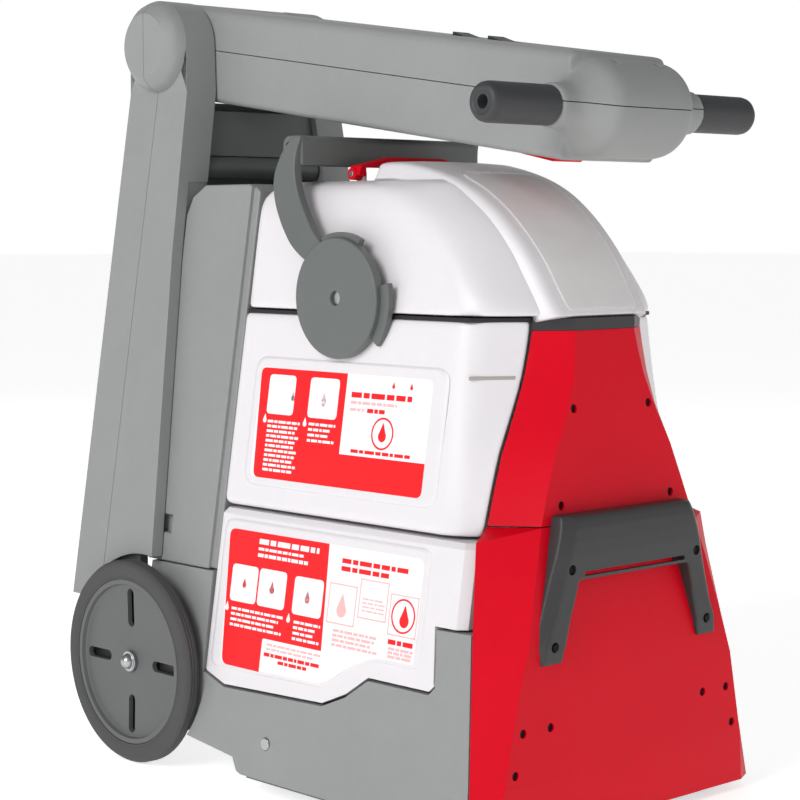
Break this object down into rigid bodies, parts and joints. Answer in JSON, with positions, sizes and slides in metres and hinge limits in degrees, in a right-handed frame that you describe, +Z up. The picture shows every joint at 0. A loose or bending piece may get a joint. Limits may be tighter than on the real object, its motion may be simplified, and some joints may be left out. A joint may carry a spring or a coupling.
{
  "type": "carpet cleaner machine",
  "caption": "Upright carpet cleaner with stacked water tanks, red front tower, side wheels, carry bail and a two-part handle folded forward over the top.",
  "frame": {"origin": "on the floor, under the middle of the folded machine", "axes": "+Z up; the machine faces -Y; +X is its left side"},
  "size_m": [0.3442, 0.5388, 0.656],
  "materials": {
    "grey_plastic": "moulded, fine grain",
    "dark_grey_plastic": "moulded, fine grain",
    "red_plastic": "moulded, satin",
    "black_plastic": "moulded",
    "charcoal_plastic": "moulded, fine grain",
    "white_tank": "blow moulded, satin",
    "clear_window": "smoked clear polycarbonate",
    "wheel_plastic": "moulded",
    "tyre_rubber": "moulded tread band",
    "black_rubber": "moulded",
    "grip_rubber": "moulded",
    "brush_nylon": "drawn nylon bristles in a moulded core",
    "bright_steel": "zinc plated",
    "black_steel": "black oxide",
    "aluminium": "pressed",
    "brass": "turned",
    "cast_motor": "laminated and cast"
  },
  "bodies": {
    "root": {"base_housing": "grey_plastic", "underbody_pan": "dark_grey_plastic", "rear_housing": "grey_plastic", "front_cover_lower": "red_plastic", "front_cover_upper": "red_plastic", "tower_cap": "black_plastic", "front_carry_handle": "charcoal_plastic", "front_screws": "black_steel", "side_screw_caps": "bright_steel", "suction_nozzle": "black_plastic", "suction_duct": "black_plastic", "brush_cover": "dark_grey_plastic", "brush_belt": "black_rubber", "brush_motor": "cast_motor", "vacuum_motor": "cast_motor", "pump": "black_plastic", "spray_tips": "brass", "axle": "bright_steel", "axle_nuts": "bright_steel", "roller_brackets": "black_plastic", "roller_pins": "bright_steel", "clean_tank": "white_tank", "tank_valve": "red_plastic", "dirty_tank": "white_tank", "tank_gasket": "black_rubber", "tank_lid": "white_tank", "lid_window": "clear_window", "float_cage": "black_plastic", "latch_pins": "bright_steel", "bail_screws": "bright_steel"},
    "lower_handle": {"lower_handle_front": "grey_plastic", "lower_handle_rear": "grey_plastic", "pivot_brackets": "dark_grey_plastic", "cross_bar": "dark_grey_plastic", "fold_pins": "bright_steel", "cord_hook_fixed": "black_plastic", "cord_gland": "black_rubber"},
    "upper_handle": {"upper_handle_top": "grey_plastic", "upper_handle_bottom": "grey_plastic", "tee_tube": "bright_steel", "grips": "grip_rubber"},
    "trigger": {"spray_trigger": "red_plastic"},
    "vacuum_rocker": {"vacuum_switch": "black_plastic"},
    "brush_rocker": {"brush_switch": "black_plastic"},
    "cord_hook": {"cord_hook_swivel": "black_plastic"},
    "wheel_left": {"wheel_tyre_left": "tyre_rubber", "wheel_hub_left": "wheel_plastic"},
    "wheel_right": {"wheel_tyre_right": "tyre_rubber", "wheel_hub_right": "wheel_plastic"},
    "front_roller_left": {"roller_left": "black_rubber"},
    "front_roller_right": {"roller_right": "black_rubber"},
    "brush": {"brush_roll": "brush_nylon"},
    "belt_pulley": {"motor_pulley": "bright_steel"},
    "fan": {"vacuum_fan": "aluminium"},
    "bail": {"carry_bail": "dark_grey_plastic"},
    "latch": {"lid_latch": "red_plastic"},
    "float": {"float_ball": "red_plastic"},
    "fill_cap_body": {"fill_cap": "black_plastic"},
    "pedal": {"release_pedal": "black_plastic"}
  },
  "joints": [
    {"name": "handle_recline", "type": "hinge", "parent": "root", "child": "lower_handle", "pos_m": [0, 0.17456, 0.087], "axis": [-1, 0, 0], "range_deg": [0, 55]},
    {"name": "handle_fold", "type": "hinge", "parent": "lower_handle", "child": "upper_handle", "pos_m": [0, 0.22856, 0.616], "axis": [-1, 0, 0], "range_deg": [0, 98.3]},
    {"name": "spray_trigger_pull", "type": "hinge", "parent": "upper_handle", "child": "trigger", "pos_m": [0, -0.14057, 0.52779], "axis": [-1, 0, 0], "range_deg": [0, 7], "stiffness_Nm_per_rad": 0.6, "springref_deg": -8.59},
    {"name": "vacuum_switch_rock", "type": "hinge", "parent": "upper_handle", "child": "vacuum_rocker", "pos_m": [0, -0.07306, 0.60535], "axis": [-1, 0, 0], "range_deg": [0, 8]},
    {"name": "brush_switch_rock", "type": "hinge", "parent": "upper_handle", "child": "brush_rocker", "pos_m": [0, -0.11264, 0.59957], "axis": [-1, 0, 0], "range_deg": [0, 8]},
    {"name": "cord_hook_swing", "type": "hinge", "parent": "lower_handle", "child": "cord_hook", "pos_m": [0, 0.25056, 0.52], "axis": [0, 1, 0], "range_deg": [0, 180]},
    {"name": "wheel_left_spin", "type": "hinge", "parent": "root", "child": "wheel_left", "pos_m": [0.16, 0.17456, 0.087], "axis": [1, 0, 0], "continuous": true},
    {"name": "wheel_right_spin", "type": "hinge", "parent": "root", "child": "wheel_right", "pos_m": [-0.16, 0.17456, 0.087], "axis": [1, 0, 0], "continuous": true},
    {"name": "roller_left_spin", "type": "hinge", "parent": "root", "child": "front_roller_left", "pos_m": [0.128, -0.21844, 0.011], "axis": [1, 0, 0], "continuous": true},
    {"name": "roller_right_spin", "type": "hinge", "parent": "root", "child": "front_roller_right", "pos_m": [-0.128, -0.21844, 0.011], "axis": [1, 0, 0], "continuous": true},
    {"name": "brush_spin", "type": "hinge", "parent": "root", "child": "brush", "pos_m": [0, -0.15344, 0.032], "axis": [1, 0, 0], "continuous": true},
    {"name": "pulley_spin", "type": "hinge", "parent": "root", "child": "belt_pulley", "pos_m": [0.11, -0.06344, 0.05], "axis": [1, 0, 0], "continuous": true},
    {"name": "fan_spin", "type": "hinge", "parent": "root", "child": "fan", "pos_m": [0, 0.13636, 0.295], "axis": [0, 0, 1], "continuous": true},
    {"name": "bail_swing", "type": "hinge", "parent": "root", "child": "bail", "pos_m": [0, -0.03944, 0.402], "axis": [1, 0, 0], "range_deg": [-7, 7]},
    {"name": "latch_lift", "type": "hinge", "parent": "root", "child": "latch", "pos_m": [0, -0.00244, 0.501], "axis": [1, 0, 0], "range_deg": [0, 27]},
    {"name": "float_rise", "type": "slide", "parent": "root", "child": "float", "axis": [0, 0, 1], "range_m": [0, 0.036]},
    {"name": "fill_cap_turn", "type": "hinge", "parent": "root", "child": "fill_cap_body", "pos_m": [0, -0.04544, 0.22], "axis": [0, 0, 1], "range_deg": [0, 90]},
    {"name": "release_pedal_press", "type": "hinge", "parent": "root", "child": "pedal", "pos_m": [0.056, 0.18056, 0.043], "axis": [-1, 0, 0], "range_deg": [0, 12], "stiffness_Nm_per_rad": 2, "springref_deg": -5.73}
  ],
  "couplings": [
    {"joint": "pulley_spin", "follows": "brush_spin", "ratio": 2.4}
  ]
}
